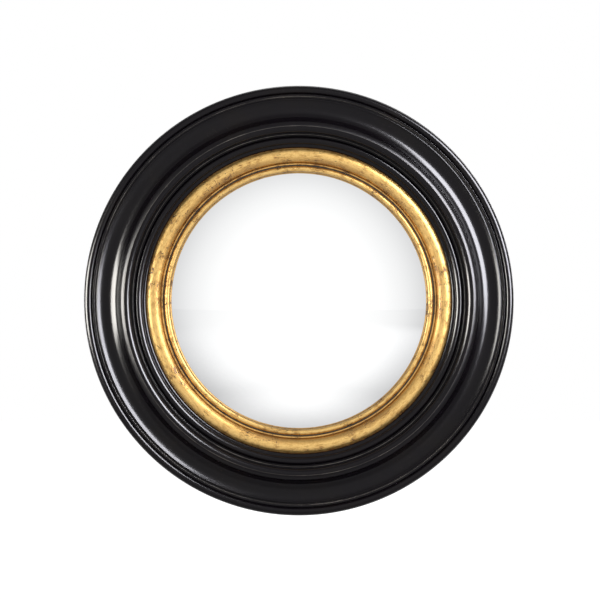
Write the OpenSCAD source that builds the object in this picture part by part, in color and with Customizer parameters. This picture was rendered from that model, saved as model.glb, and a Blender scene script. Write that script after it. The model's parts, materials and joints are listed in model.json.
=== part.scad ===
// Round convex wall mirror: a turned black frame, a gilt slip, a domed glass and what holds them at the back.
// The mirror faces -Y and hangs with +Z up. The origin is the middle of the frame's back, on the wall.
// Heights are measured from the wall towards the room, and every round piece turns about the Y axis.

/* [Outer edge of the frame] */
// Overall diameter of the frame
frame_d = 380; // [360:1:440]
// Height of the straight outer edge, from the wall to the outer bead's spring line
edge_h = 22; // [20:0.5:28]
// Chamfer round the back of the outer edge
edge_chamfer = 1.5; // [0.5:0.1:2.5]
// Radius of the outer bead
outer_bead_r = 3.5; // [2.5:0.1:4]
// Small shoulder left outside the outer bead
outer_bead_inset = 0.3; // [0.2:0.1:1]
// Width of the quirk between the bead and the narrow fillet
quirk_w = 0.4; // [0.3:0.1:0.8]
// Width of the narrow fillet inside the outer bead
outer_fillet_w = 1.7; // [1:0.1:2.5]
// Height of that fillet above the quirk
outer_fillet_h = 1.5; // [0.8:0.1:2]
// Width of the groove between the fillet and the cove
groove_w = 1.5; // [0.8:0.1:2]

/* [Cove and ridge of the frame] */
// Height of the cove's outer arris above the groove
arris_rise = 1.6; // [1.2:0.1:2.5]
// Radius that rounds the arris over towards the groove
arris_round_r = 0.9; // [0.5:0.1:1.1]
// Radius of the cove's shallow outer flank
cove_out_r = 16.8; // [15:0.2:18]
// Radius of the cove's steep inner flank
cove_r = 11; // [10:0.5:12]
// Depth of the cove below its outer arris
cove_depth = 2.4; // [1.8:0.1:3]
// Height of the steep rise between the cove and the shoulder
rise_h = 2.7; // [2:0.1:5]
// Slope of the rise, in degrees
rise_slope = 84; // [76:1:86]
// Radius of the shoulder below the ridge
shoulder_r = 6; // [5.5:0.1:7]
// Step from the shoulder up to the ridge
ridge_step = 1.2; // [0.6:0.1:2]
// Width of the ridge's flat top
ridge_w = 1.5; // [1:0.1:2.5]
// Radius of the quarter round inside the ridge
ridge_round_r = 4.1; // [3:0.1:4.5]

/* [Inner mouldings of the frame] */
// Drop from the ridge to the inner quirk
inner_drop = 8.5; // [7:0.1:10]
// Width of the inner quirk
inner_quirk_w = 1.1; // [0.8:0.1:1.6]
// Width of the inner fillet
inner_fillet_w = 1.2; // [0.8:0.1:1.8]
// Height of the inner fillet above its quirk
inner_fillet_h = 1.8; // [1:0.1:2.5]
// Width of the groove between the inner fillet and the inner bead
inner_groove_w = 0.9; // [0.6:0.1:1.4]
// Radius of the inner bead
inner_bead_r = 3.4; // [3:0.1:4]
// Drop from the inner quirk to the middle of the inner bead
inner_bead_drop = 2; // [1.5:0.1:2.5]
// Width of the frame's lip, inside the inner bead
lip_w = 3.1; // [2.6:0.1:4]
// Drop from the middle of the inner bead to the lip's face
lip_drop = 0.8; // [0.4:0.1:1.2]
// Thickness of the lip
lip_t = 2.8; // [2.5:0.1:3.6]
// Radius that rounds the lip over towards the gilt slip
lip_round_r = 1.5; // [0.8:0.1:2]

/* [Gilt slip] */
// Width of the slip's seat under the frame's lip
slip_seat_w = 4.7; // [4:0.1:6]
// Clearance round the slip
slip_gap = 0.2; // [0.1:0.05:0.3]
// Radius of the slip's half round
slip_round_r = 7.8; // [7:0.1:8.5]
// Width from the crest of the half round to the frame's lip
slip_crest_w = 6.2; // [5.5:0.1:6.6]
// Drop from the slip's seat to the middle of the half round
slip_round_drop = 3.5; // [3:0.1:4]
// Steepest slope of the half round on its inner side, in degrees
slip_inner_slope = 75; // [65:1:80]
// Width of the fine step inside the half round
slip_step_w = 1.1; // [0.8:0.1:1.6]
// Width of the fine groove
slip_groove_w = 1.3; // [1:0.1:2]
// Depth of the fine groove below the step
slip_groove_depth = 0.8; // [0.4:0.1:1]
// Width of the lip over the glass
slip_lip_w = 5; // [4.4:0.1:5.6]
// Height of the lip's spring line above the step
slip_lip_rise = 0.4; // [0.2:0.1:1]
// Thickness of the lip's edge, between its spring line and its seat on the glass
slip_lip_t = 0.9; // [0.5:0.1:1.2]

/* [Glass] */
// Radius of the dome's front
dome_r = 330; // [300:5:400]
// Thickness of the glass
glass_t = 3; // [2:0.1:4]
// Width of glass hidden under the slip's lip
glass_cover = 5; // [3.5:0.1:5.5]
// Clearance round the rim of the glass
glass_gap = 0.6; // [0.3:0.1:1]
// Clearance between the glass and the lip over it
dome_gap = 0.3; // [0.2:0.05:0.5]

/* [Packing and board] */
// Thickness of the felt packing ring
packing_t = 2; // [1:0.1:3]
// Width of the packing ring and of the spacer ring
spacer_w = 10; // [7:0.5:14]
// Clearance on either side of the felt
packing_gap = 0.1; // [0.05:0.05:0.3]
// Clearance round the packing ring and the spacer ring
spacer_gap = 0.3; // [0.2:0.1:0.6]
// Thickness of the backing board
board_t = 3; // [2:0.1:4]
// Width of the frame's rebate under the edge of the board
board_seat_w = 6; // [5:0.5:8]
// Clearance round the backing board
board_gap = 0.5; // [0.2:0.1:1]
// Depth of the recess at the back, from the wall to the board
recess_depth = 9; // [9:0.5:10.5]
// Width of the ledge round the board
ledge_w = 26; // [25:0.5:28]

/* [Turn buttons] */
// Width of a turn button
button_w = 9; // [8:0.5:10]
// Length of a turn button, from its screw to its tip
button_reach = 26; // [22:1:28]
// Thickness of a turn button
button_t = 1.5; // [1:0.1:2]
// Distance from the board's rebate to a turn button's screw
button_inset = 11; // [9:0.5:12]
// Clearance under and over a turn button
button_play = 0.15; // [0.1:0.05:0.3]

/* [Screws] */
// Radius of a screw's plain shank
screw_r = 1.75; // [1.6:0.05:2]
// Radius of a screw's thread
thread_r = 1.5; // [1.2:0.05:1.55]
// Length of a screw in the wood
thread_l = 12; // [8:0.5:14]
// Radius of a screw's head
screw_head_r = 3.6; // [3.2:0.1:4]
// Height of a screw's head
screw_head_h = 2; // [1.5:0.1:2.2]
// Width of the slots across a screw's head
slot_w = 0.9; // [0.6:0.1:1.2]
// Depth of those slots
slot_depth = 1.1; // [0.6:0.1:1.3]
// Running clearance round a shank or a wire that turns
pivot_gap = 0.05; // [0.02:0.01:0.1]
// Clearance round the thread in its pilot hole
pilot_gap = 0.05; // [0.02:0.01:0.1]

/* [Hanger] */
// Width of the hanger plate over its two ears
hanger_w = 38; // [36:1:44]
// Height of the hanger plate
hanger_h = 10; // [9:0.5:10.5]
// Thickness of the hanger plate
hanger_t = 1; // [0.8:0.1:1.2]
// Length of the plate's rolled barrel
barrel_l = 10; // [7:0.5:11]
// Radius of the ring's wire
wire_r = 1.2; // [1:0.05:1.4]
// Radius of the ring's bow, to the middle of the wire
bow_r = 8; // [7.6:0.1:8.4]
// Length of the ring's straight sides
ring_leg = 2.5; // [1.5:0.1:3]
// Gap between the ring and the plate that it lies over
ring_lift = 0.3; // [0.2:0.05:0.5]
// Distance from the board's rebate to the ring's pivot
hanger_inset = 10.5; // [10.5:0.5:12]

/* [Hidden] */
// Turned pieces are drawn with this many sides.
$fn = 180;
// Steps along a curved moulding
moulding_steps = 10;
// Turn buttons stand evenly round the board, at these angles from +X, with none under the hanger.
button_angles = [0, 60, 120, 180, 240, 300];
// How far a cut runs past the face that it opens
cut_over = 1;
// Depth of a pilot hole past the tip of its screw
pilot_over = 0.5;
// Length of a screw's point
point_l = 3;
// Bevel round the face of a screw's head
head_bevel = 0.7;

// Radii, from the outer edge inwards
edge_r = frame_d / 2;
outer_bead_cr = edge_r - outer_bead_inset - outer_bead_r;
outer_fillet_out_r = outer_bead_cr - outer_bead_r - quirk_w;
outer_fillet_in_r = outer_fillet_out_r - outer_fillet_w;
arris_r = outer_fillet_in_r - groove_w - arris_round_r;
cove_cr = arris_r - sqrt(pow(cove_out_r, 2) - pow(cove_out_r - cove_depth, 2));
rise_out_r = cove_cr - cove_r * sin(rise_slope);
rise_in_r = rise_out_r - rise_h / tan(rise_slope);
shoulder_cr = rise_in_r - shoulder_r * sin(rise_slope);
ridge_out_r = shoulder_cr + ridge_w;
ridge_in_r = shoulder_cr - ridge_round_r;
inner_fillet_out_r = ridge_in_r - inner_quirk_w;
inner_fillet_in_r = inner_fillet_out_r - inner_fillet_w;
inner_bead_cr = inner_fillet_in_r - inner_groove_w - inner_bead_r;
lip_out_r = inner_bead_cr - inner_bead_r;
lip_in_r = lip_out_r - lip_w;
slip_rebate_r = lip_in_r + slip_seat_w;
board_rebate_r = slip_rebate_r + board_seat_w;
recess_r = board_rebate_r + ledge_w;
slip_spigot_r = lip_in_r - slip_gap;
slip_round_cr = slip_spigot_r - slip_crest_w;
slip_step_out_r = slip_round_cr - slip_round_r * sin(slip_inner_slope);
slip_groove_out_r = slip_step_out_r - slip_step_w;
slip_lip_out_r = slip_groove_out_r - slip_groove_w;
sight_r = slip_lip_out_r - slip_lip_w;
glass_r = sight_r + glass_cover;
glass_rebate_r = glass_r + glass_gap;
spacer_out_r = glass_rebate_r - spacer_gap;
button_pivot_r = board_rebate_r + button_inset;

// Heights, from the wall towards the room
arris_h = edge_h + arris_rise;
cove_bottom_h = arris_h - cove_depth;
cove_ch = cove_bottom_h + cove_r;
rise_foot_h = cove_ch - cove_r * cos(rise_slope);
rise_top_h = rise_foot_h + rise_h;
shoulder_ch = rise_top_h - shoulder_r * cos(rise_slope);
ridge_h = shoulder_ch + sqrt(pow(shoulder_r, 2) - pow(ridge_w, 2)) + ridge_step;
inner_quirk_h = ridge_h - inner_drop;
inner_bead_ch = inner_quirk_h - inner_bead_drop;
lip_h = inner_bead_ch - lip_drop;
slip_seat_h = lip_h - lip_t;
slip_round_ch = slip_seat_h - slip_round_drop;
slip_step_h = slip_round_ch + slip_round_r * cos(slip_inner_slope);
slip_lip_ch = slip_step_h + slip_lip_rise;
sight_h = slip_lip_ch - slip_lip_t;
board_in_h = recess_depth + board_t;
button_h = recess_depth - button_play - button_t;

// The glass is part of a sphere, whose middle lies behind the wall.
seat_dome_r = dome_r + dome_gap;
dome_ch = sight_h - sqrt(pow(seat_dome_r, 2) - pow(sight_r, 2));
packing_front_r = dome_r - glass_t - packing_gap;
packing_back_r = packing_front_r - packing_t;
spacer_front_r = packing_back_r - packing_gap;

// The ring swings about this line, and hangs down at rest.
pivot_z = board_rebate_r + hanger_inset;
pivot_h = recess_depth - hanger_t - ring_lift - wire_r;
ear_x = (hanger_w - hanger_h) / 2;
ear_z = pivot_z - hanger_h / 2;

// Points along an arc of an outline, from one angle to another
function arc(centre, r, from, to) =
    [for (i = [0 : moulding_steps])
        let (a = from + (to - from) * i / moulding_steps)
        centre + r * [cos(a), sin(a)]];

// Points along the seat that the dome lies against, from one radius out to another
function seat_arc(from, to) =
    [for (i = [0 : moulding_steps])
        let (r = from + (to - from) * i / moulding_steps)
        [r, dome_ch + sqrt(pow(seat_dome_r, 2) - pow(r, 2))]];

// Stands a shape up from the wall: its X stays, its Y becomes up and its Z becomes the height from the wall.
module from_wall() {
    rotate([90, 0, 0]) children();
}

module turned(outline) {
    from_wall() rotate_extrude() polygon(outline);
}

// A flat ring or sleeve between two heights
module sleeve(r_out, r_in, h_low, h_high) {
    difference() {
        translate([0, 0, h_low]) cylinder(r = r_out, h = h_high - h_low);
        translate([0, 0, h_low - cut_over]) cylinder(r = r_in, h = h_high - h_low + 2 * cut_over);
    }
}

module dome_ball(r) {
    translate([0, 0, dome_ch]) sphere(r = r);
}

module at_buttons() {
    for (a = button_angles) rotate([0, 0, a]) translate([button_pivot_r, 0, 0]) children();
}

module at_hanger_ears() {
    for (side = [-1, 1]) translate([side * ear_x, ear_z, 0]) children();
}

// The frame's section, from the back of its outer edge over the front to the rear rebates
frame_outline = concat(
    [[edge_r - edge_chamfer, 0], [edge_r, edge_chamfer], [edge_r, edge_h]],
    arc([outer_bead_cr, edge_h], outer_bead_r, 0, 180),
    [[outer_fillet_out_r, edge_h], [outer_fillet_out_r, edge_h + outer_fillet_h]],
    [[outer_fillet_in_r, edge_h + outer_fillet_h], [outer_fillet_in_r, edge_h]],
    [[arris_r + arris_round_r, edge_h]],
    arc([arris_r, arris_h - arris_round_r], arris_round_r, 0, 90),
    arc([cove_cr, cove_bottom_h + cove_out_r], cove_out_r, -asin((cove_out_r - cove_depth) / cove_out_r), -90),
    arc([cove_cr, cove_ch], cove_r, -90, -90 - rise_slope),
    arc([shoulder_cr, shoulder_ch], shoulder_r, 90 - rise_slope, acos(ridge_w / shoulder_r)),
    [[ridge_out_r, ridge_h]],
    arc([shoulder_cr, ridge_h - ridge_round_r], ridge_round_r, 90, 180),
    [[ridge_in_r, inner_quirk_h], [inner_fillet_out_r, inner_quirk_h]],
    [[inner_fillet_out_r, inner_quirk_h + inner_fillet_h]],
    [[inner_fillet_in_r, inner_quirk_h + inner_fillet_h], [inner_fillet_in_r, inner_bead_ch]],
    arc([inner_bead_cr, inner_bead_ch], inner_bead_r, 0, 180),
    [[lip_out_r, lip_h]],
    arc([lip_in_r + lip_round_r, lip_h - lip_round_r], lip_round_r, 90, 180),
    [[lip_in_r, slip_seat_h], [slip_rebate_r, slip_seat_h]],
    [[slip_rebate_r, board_in_h], [board_rebate_r, board_in_h]],
    [[board_rebate_r, recess_depth], [recess_r, recess_depth], [recess_r, 0]]
);

// The slip's section, from its back over the half round, the groove and the lip to the seat of the glass
slip_outline = concat(
    [[slip_rebate_r - slip_gap, board_in_h], [slip_rebate_r - slip_gap, slip_seat_h]],
    [[slip_spigot_r, slip_seat_h]],
    arc([slip_round_cr, slip_round_ch], slip_round_r,
        acos(slip_crest_w / slip_round_r), 90 + slip_inner_slope),
    [[slip_groove_out_r, slip_step_h], [slip_groove_out_r, slip_step_h - slip_groove_depth]],
    [[slip_lip_out_r, slip_step_h - slip_groove_depth]],
    arc([sight_r + slip_lip_w / 2, slip_lip_ch], slip_lip_w / 2, 0, 180),
    seat_arc(sight_r, glass_rebate_r),
    [[glass_rebate_r, board_in_h]]
);

module pilot_hole() {
    translate([0, 0, recess_depth - cut_over])
        cylinder(r = thread_r + pilot_gap, h = cut_over + thread_l + pilot_over);
}

module frame_ring() {
    color([0.1, 0.09, 0.1])
    difference() {
        turned(frame_outline);
        from_wall() {
            at_buttons() pilot_hole();
            at_hanger_ears() pilot_hole();
        }
    }
}

module gilt_ring() {
    color([0.75, 0.55, 0.2]) turned(slip_outline);
}

module mirror_glass() {
    color([0.9, 0.92, 0.93])
    from_wall()
    difference() {
        intersection() {
            dome_ball(dome_r);
            cylinder(r = glass_r, h = dome_ch + dome_r + cut_over);
        }
        dome_ball(dome_r - glass_t);
    }
}

module packing_ring() {
    color([0.2, 0.2, 0.21])
    from_wall()
    difference() {
        intersection() {
            dome_ball(packing_front_r);
            sleeve(spacer_out_r, spacer_out_r - spacer_w, 0, dome_ch + dome_r);
        }
        dome_ball(packing_back_r);
    }
}

module spacer_ring() {
    color([0.78, 0.64, 0.45])
    from_wall()
    intersection() {
        dome_ball(spacer_front_r);
        sleeve(spacer_out_r, spacer_out_r - spacer_w, board_in_h, dome_ch + dome_r);
    }
}

module backing_board() {
    color([0.42, 0.28, 0.18])
    from_wall() translate([0, 0, recess_depth]) cylinder(r = board_rebate_r - board_gap, h = board_t);
}

// A flat steel finger with round ends, which points at the middle of the board
module turn_button(number) {
    tip_x = button_w / 2 - button_reach;
    color([0.72, 0.72, 0.7])
    from_wall()
    rotate([0, 0, button_angles[number - 1]])
    translate([button_pivot_r, 0, button_h])
    linear_extrude(button_t)
    difference() {
        union() {
            circle(d = button_w);
            translate([tip_x, 0]) circle(d = button_w);
            translate([tip_x, -button_w / 2]) square([-tip_x, button_w]);
        }
        circle(r = screw_r + pivot_gap);
    }
}

// A pan-head wood screw with crossed slots, head at its foot, that holds a given thickness on the ledge
module screw(hold) {
    thread_foot = screw_head_h + hold;
    translate([0, 0, recess_depth - thread_foot])
    difference() {
        rotate_extrude() polygon([
            [0, 0],
            [screw_head_r - head_bevel, 0],
            [screw_head_r, head_bevel],
            [screw_head_r, screw_head_h],
            [screw_r, screw_head_h],
            [screw_r, thread_foot],
            [thread_r, thread_foot],
            [thread_r, thread_foot + thread_l - point_l],
            [0, thread_foot + thread_l]
        ]);
        for (turn = [0, 90])
            rotate([0, 0, turn])
            translate([-screw_head_r + head_bevel, -slot_w / 2, -cut_over])
            cube([2 * (screw_head_r - head_bevel), slot_w, cut_over + slot_depth]);
    }
}

module turn_button_screws() {
    color([0.78, 0.7, 0.5]) from_wall() at_buttons() screw(button_t + 2 * button_play);
}

module hanger_screws() {
    color([0.78, 0.7, 0.5]) from_wall() at_hanger_ears() screw(hanger_t);
}

// A plate with two round ears, rolled at its upper edge into a barrel round the ring's wire
module hanger_plate() {
    barrel_r = wire_r + pivot_gap + hanger_t;
    color([0.7, 0.7, 0.68])
    from_wall()
    difference() {
        union() {
            translate([0, 0, recess_depth - hanger_t])
            linear_extrude(hanger_t) {
                at_hanger_ears() circle(d = hanger_h);
                translate([-ear_x, pivot_z - hanger_h]) square([2 * ear_x, hanger_h]);
            }
            translate([-barrel_l / 2, pivot_z, pivot_h])
                rotate([0, 90, 0]) cylinder(r = barrel_r, h = barrel_l);
        }
        translate([-barrel_l / 2 - cut_over, pivot_z, pivot_h])
            rotate([0, 90, 0]) cylinder(r = wire_r + pivot_gap, h = barrel_l + 2 * cut_over);
        at_hanger_ears() translate([0, 0, recess_depth - hanger_t - cut_over])
            cylinder(r = screw_r + pivot_gap, h = hanger_t + 2 * cut_over);
    }
}

// A D of round wire: a straight bar in the barrel, two short sides and a half-round bow below
module hanger_ring() {
    color([0.72, 0.72, 0.7])
    from_wall()
    translate([0, pivot_z, pivot_h]) {
        translate([-bow_r, 0, 0]) rotate([0, 90, 0]) cylinder(r = wire_r, h = 2 * bow_r);
        for (side = [-1, 1]) translate([side * bow_r, 0, 0]) {
            sphere(r = wire_r);
            rotate([90, 0, 0]) cylinder(r = wire_r, h = ring_leg);
        }
        translate([0, -ring_leg, 0]) rotate([0, 0, 180])
            rotate_extrude(angle = 180) translate([bow_r, 0]) circle(r = wire_r);
    }
}

frame_ring();
gilt_ring();
mirror_glass();
packing_ring();
spacer_ring();
backing_board();
turn_button(1);  // turn_button_1
turn_button(2);  // turn_button_2
turn_button(3);  // turn_button_3
turn_button(4);  // turn_button_4
turn_button(5);  // turn_button_5
turn_button(6);  // turn_button_6
turn_button_screws();
hanger_plate();
hanger_ring();
hanger_screws();
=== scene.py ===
"""The looks of a round convex wall mirror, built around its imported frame.

Heights are measured from the wall towards the room, so a height h lies at Y = -h. Lengths are in metres."""

import json
import math
from types import SimpleNamespace

import bmesh
import bpy
from bpy.props import FloatProperty, FloatVectorProperty, IntProperty, PointerProperty
from mathutils import Matrix, Vector, noise


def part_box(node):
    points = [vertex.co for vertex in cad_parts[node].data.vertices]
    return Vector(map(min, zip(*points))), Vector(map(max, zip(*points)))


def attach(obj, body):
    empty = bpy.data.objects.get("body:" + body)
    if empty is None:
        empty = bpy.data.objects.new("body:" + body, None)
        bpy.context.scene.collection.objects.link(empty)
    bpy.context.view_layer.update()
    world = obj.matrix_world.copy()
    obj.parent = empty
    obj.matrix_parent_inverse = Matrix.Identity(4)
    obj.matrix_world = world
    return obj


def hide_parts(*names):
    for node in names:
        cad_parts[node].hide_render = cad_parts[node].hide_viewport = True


bl_info = {
    "name": "Round convex wall mirror",
    "version": (1, 0, 0),
    "blender": (4, 5, 0),
    "location": "View3D > Sidebar > Wall mirror",
    "description": "Builds the lacquered frame, the gilt slip, the domed glass and the hardware behind them",
    "category": "Object",
}

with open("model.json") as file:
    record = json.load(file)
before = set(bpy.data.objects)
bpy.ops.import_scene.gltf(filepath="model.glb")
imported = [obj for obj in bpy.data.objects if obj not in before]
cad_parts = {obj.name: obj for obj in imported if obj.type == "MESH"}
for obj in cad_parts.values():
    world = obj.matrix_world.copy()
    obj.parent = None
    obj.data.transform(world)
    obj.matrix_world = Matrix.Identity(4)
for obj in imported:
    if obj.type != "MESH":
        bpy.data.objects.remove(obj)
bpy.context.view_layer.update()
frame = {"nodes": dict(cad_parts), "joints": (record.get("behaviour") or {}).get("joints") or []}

MM = 0.001
TURN = 2 * math.pi
ROOT = "frame"
BUTTONS = [name for name in sorted(frame["nodes"]) if name.startswith("turn_button_") and "screws" not in name]


def length(name, description, millimetres):
    """A length that a user can change, given here in millimetres"""
    return FloatProperty(name=name, description=description, default=millimetres * MM, unit="LENGTH", precision=5)


def angle(name, description, degrees):
    """An angle that a user can change, given here in degrees"""
    return FloatProperty(name=name, description=description, default=math.radians(degrees), unit="ROTATION")


def colour(name, description, red, green, blue):
    """A linear colour that a user can change"""
    return FloatVectorProperty(
        name=name, description=description, default=(red, green, blue), subtype="COLOR", size=3, min=0, max=1
    )


def share(name, description, default):
    """A plain number that a user can change"""
    return FloatProperty(name=name, description=description, default=default, min=0)


def node_radius(node):
    """Half the width of a round CAD node"""
    low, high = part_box(node)
    return (high.x - low.x) / 2


class FrameSizes(bpy.types.PropertyGroup):
    """The mouldings of the black frame, from its outer edge inwards"""

    edge_h: length("Edge height", "Height of the straight outer edge", 22)
    edge_chamfer: length("Edge chamfer", "Chamfer round the back of the outer edge", 1.5)
    outer_bead_r: length("Outer bead", "Radius of the outer bead", 3.5)
    outer_bead_inset: length("Outer bead inset", "Small shoulder left outside the outer bead", 0.3)
    quirk_w: length("Quirk", "Width of the quirk between the bead and the fillet", 0.4)
    outer_fillet_w: length("Outer fillet width", "Width of the narrow fillet", 1.7)
    outer_fillet_h: length("Outer fillet height", "Height of the fillet above the quirk", 1.5)
    groove_w: length("Groove", "Width of the groove between the fillet and the cove", 1.5)
    arris_rise: length("Arris rise", "Height of the cove's outer arris above the groove", 1.6)
    arris_round_r: length("Arris round", "Radius that rounds the arris over", 0.9)
    cove_out_r: length("Cove outer radius", "Radius of the cove's shallow outer flank", 16.8)
    cove_r: length("Cove inner radius", "Radius of the cove's steep inner flank", 11)
    cove_depth: length("Cove depth", "Depth of the cove below its arris", 2.4)
    rise_h: length("Rise", "Height of the steep rise inside the cove", 2.7)
    rise_slope: angle("Rise slope", "Slope of the rise", 84)
    shoulder_r: length("Shoulder", "Radius of the shoulder below the ridge", 6)
    ridge_step: length("Ridge step", "Step from the shoulder up to the ridge", 1.2)
    ridge_w: length("Ridge width", "Width of the ridge's flat top", 1.5)
    ridge_round_r: length("Quarter round", "Radius of the quarter round inside the ridge", 4.1)
    inner_drop: length("Inner drop", "Drop from the ridge to the inner quirk", 8.5)
    inner_quirk_w: length("Inner quirk", "Width of the inner quirk", 1.1)
    inner_fillet_w: length("Inner fillet width", "Width of the inner fillet", 1.2)
    inner_fillet_h: length("Inner fillet height", "Height of the inner fillet above its quirk", 1.8)
    inner_groove_w: length("Inner groove", "Width of the groove inside the inner fillet", 0.9)
    inner_bead_r: length("Inner bead", "Radius of the inner bead", 3.4)
    inner_bead_drop: length("Inner bead drop", "Drop from the inner quirk to the middle of the inner bead", 2)
    lip_w: length("Lip width", "Width of the frame's lip", 3.1)
    lip_drop: length("Lip drop", "Drop from the middle of the inner bead to the lip", 0.8)
    lip_t: length("Lip thickness", "Thickness of the lip", 2.8)
    lip_round_r: length("Lip round", "Radius that rounds the lip over", 1.5)
    slip_seat_w: length("Slip seat", "Width of the slip's seat under the lip", 4.7)
    board_seat_w: length("Board seat", "Width of the rebate under the edge of the board", 6)
    board_t: length("Board thickness", "Thickness of the backing board", 3)
    recess_depth: length("Recess", "Depth of the recess at the back", 9)
    ledge_w: length("Ledge", "Width of the ledge round the board", 26)
    ease: length("Eased corners", "Radius of the lacquer over a sharp corner", 0.22)
    sides: IntProperty(name="Sides", description="Sides of a turned piece", default=480, min=96)


class SlipSizes(bpy.types.PropertyGroup):
    """The gilt slip and the glass behind it"""

    gap: length("Slip gap", "Clearance round the slip", 0.2)
    round_r: length("Half round", "Radius of the slip's half round", 7.8)
    crest_w: length("Crest width", "Width from the crest of the half round to the frame's lip", 6.2)
    round_drop: length("Half round drop", "Drop from the slip's seat to the middle of the half round", 3.5)
    inner_slope: angle("Inner slope", "Steepest slope of the half round on its inner side", 75)
    step_w: length("Step", "Width of the fine step inside the half round", 1.1)
    groove_w: length("Fine groove", "Width of the fine groove", 1.3)
    groove_depth: length("Fine groove depth", "Depth of the fine groove below the step", 0.8)
    lip_w: length("Lip", "Width of the lip over the glass", 5)
    lip_rise: length("Lip rise", "Height of the lip's spring line above the step", 0.4)
    lip_t: length("Lip edge", "Thickness of the lip's edge", 0.9)
    dome_r: length("Dome radius", "Radius of the front of the glass", 330)
    dome_gap: length("Dome gap", "Clearance between the glass and the lip over it", 0.3)
    glass_t: length("Glass thickness", "Thickness of the glass", 3)
    glass_cover: length("Glass cover", "Width of glass hidden under the lip", 5)
    glass_gap: length("Glass gap", "Clearance round the rim of the glass", 0.6)
    ease: length("Eased corners", "Radius of the gesso over a sharp corner", 0.3)
    wobble: length("Wobble", "How far the hand-laid gesso strays from the turned shape", 0.09)
    dents: length("Dents", "Depth of the dents and lost flakes", 0.16)


class HardwareSizes(bpy.types.PropertyGroup):
    """The turn buttons, the screws and the hanger"""

    button_w: length("Button width", "Width of a turn button", 9)
    button_reach: length("Button reach", "Length of a turn button, from its screw to its tip", 26)
    button_t: length("Button thickness", "Thickness of a turn button", 1.5)
    button_play: length("Button play", "Clearance under and over a turn button", 0.15)
    screw_r: length("Shank", "Radius of a screw's plain shank", 1.75)
    thread_r: length("Thread", "Radius of a screw's thread", 1.5)
    thread_l: length("Thread length", "Length of a screw in the wood", 12)
    thread_pitch: length("Thread pitch", "Distance between two turns of the thread", 1.3)
    point_l: length("Point", "Length of a screw's point", 3)
    head_r: length("Head radius", "Radius of a screw's head", 3.6)
    head_h: length("Head height", "Height of a screw's head", 2)
    head_crown: length("Head crown", "Height of the domed part of a screw's head", 1.1)
    slot_w: length("Slot width", "Width of the crossed slots", 0.9)
    slot_depth: length("Slot depth", "Depth of the crossed slots", 1.1)
    pivot_gap: length("Pivot gap", "Clearance round what turns", 0.05)
    hanger_w: length("Hanger width", "Width of the hanger plate over its ears", 38)
    hanger_h: length("Hanger height", "Height of the hanger plate", 10)
    hanger_t: length("Hanger thickness", "Thickness of the hanger plate", 1)
    barrel_l: length("Barrel", "Length of the plate's rolled barrel", 10)
    barrel_seam: angle("Barrel seam", "Opening left where the roll meets the plate", 28)
    wire_r: length("Wire", "Radius of the ring's wire", 1.2)
    bow_r: length("Bow", "Radius of the ring's bow", 8)
    ring_leg: length("Ring leg", "Length of the ring's straight sides", 2.5)
    bend_r: length("Bend", "Radius of the wire's bend beside the barrel", 1.7)
    edge: length("Stamped edge", "Radius of a stamped edge", 0.2)


class Finishes(bpy.types.PropertyGroup):
    """Colours of the lacquer, the leaf, the glass, the board and the steel"""

    lacquer: colour("Lacquer", "Black lacquer", 0.006, 0.0042, 0.0066)
    lacquer_warm: colour("Warm lacquer", "Where the brown ground shows through", 0.0095, 0.0062, 0.0052)
    # Colour of the painted highlight along the frame's arrises and crests
    lacquer_crest_highlight: colour("Lacquer highlight", "Painted highlight on the arrises", 0.24, 0.215, 0.19)
    lacquer_gloss: share("Lacquer gloss", "Specular level of the lacquer", 0.15)
    leaf: colour("Gold leaf", "Bright leaf", 0.75, 0.49, 0.165)
    # Darker leaf, used for random variation and as painted shade on the slip's inner flank and lip
    leaf_deep_and_shade: colour("Deep leaf", "Darker leaf and painted shade", 0.5, 0.28, 0.075)
    clay: colour("Clay", "Red-brown ground where the leaf is rubbed through", 0.2, 0.066, 0.018)
    bole: colour("Bole", "Orange-brown ground along the outer edge of the slip", 0.36, 0.15, 0.04)
    wax: colour("Dark wax", "Wax left in cracks and grooves", 0.012, 0.006, 0.004)
    silver: colour("Silvering", "Middle of the mirror", 0.985, 0.99, 0.99)
    # Painted shade: the grey that the mirror takes on towards its rim
    silver_rim_shade: colour("Silvering at the rim", "Mirror near its rim", 0.8, 0.805, 0.81)
    felt: colour("Felt", "Packing felt", 0.08, 0.08, 0.085)
    wood_light: colour("Light wood", "Bare wood, light grain", 0.5, 0.34, 0.18)
    wood_dark: colour("Dark wood", "Bare wood, dark grain", 0.3, 0.17, 0.075)
    board: colour("Hardboard", "Pressed board", 0.2, 0.105, 0.05)
    board_dark: colour("Dark hardboard", "Darker fibres", 0.1, 0.048, 0.022)
    zinc: colour("Zinc", "Zinc plating", 0.6, 0.61, 0.62)
    zinc_dull: colour("Dull zinc", "Duller plating", 0.42, 0.43, 0.44)
    brass_zinc: colour("Yellow zinc", "Yellow plating of the screws", 0.66, 0.53, 0.26)
    brass_zinc_green: colour("Green sheen", "Greenish sheen of that plating", 0.5, 0.52, 0.3)


class StageSizes(bpy.types.PropertyGroup):
    """The floor, the lamps and the camera"""

    camera_distance: length("Camera distance", "Distance from the wall plane to the camera", 3000)
    view_w: length("View width", "Width that the picture spans at the frame's edge", 530.6)
    view_x: length("View offset", "How far right of the mirror the picture is centred", 1.04)
    view_z: length("View height", "How far above the mirror's middle the picture is centred", 0.57)
    floor_drop: length("Floor drop", "Gap between the frame and the floor below it", 80)
    floor_w: length("Floor width", "Width of the floor", 9000)
    lamp_distance: length("Lamp distance", "Distance of the softboxes", 1600)


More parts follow.
